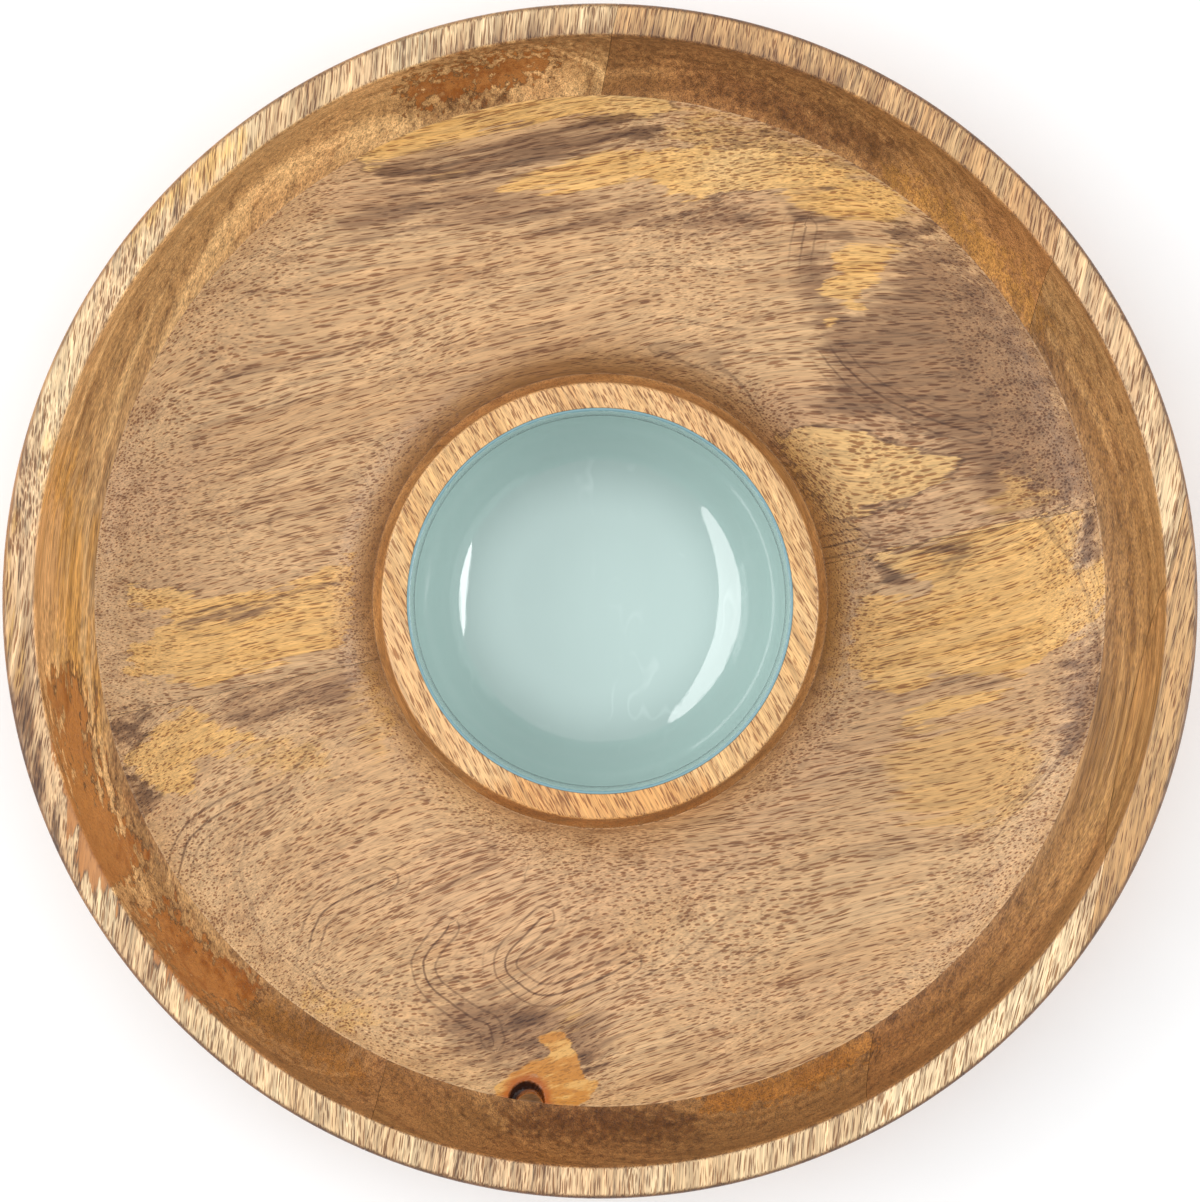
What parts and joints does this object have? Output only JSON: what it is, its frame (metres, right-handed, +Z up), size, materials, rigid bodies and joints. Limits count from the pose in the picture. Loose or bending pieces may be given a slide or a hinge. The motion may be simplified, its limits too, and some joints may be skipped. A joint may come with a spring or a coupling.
{
  "type": "chip and dip server",
  "caption": "Round turned wooden serving dish with a ring-shaped chip trough around an enamel-lined dip bowl, made from two crossed layers of glued boards.",
  "frame": {"origin": "centre of the underside, on the surface that the dish stands on", "axes": "+Z up along the turning axis, out of the mouth of the dip bowl; -Y to the front and +X to the right; the rim's narrow edge strip is at the +X side"},
  "size_m": [0.305, 0.305, 0.048],
  "materials": {
    "base_wood": "satin lacquer",
    "rim_wood": "satin lacquer",
    "bowl_ring_wood": "satin lacquer",
    "enamel": "high gloss"
  },
  "bodies": {
    "root": {"base_board_back": "base_wood", "base_board_front": "base_wood", "rim_board_left": "rim_wood", "rim_segment_back": "rim_wood", "rim_segment_front": "rim_wood", "rim_board_right": "rim_wood", "rim_edge_strip": "rim_wood", "dip_bowl_ring": "bowl_ring_wood", "enamel_lining": "enamel"}
  },
  "joints": []
}
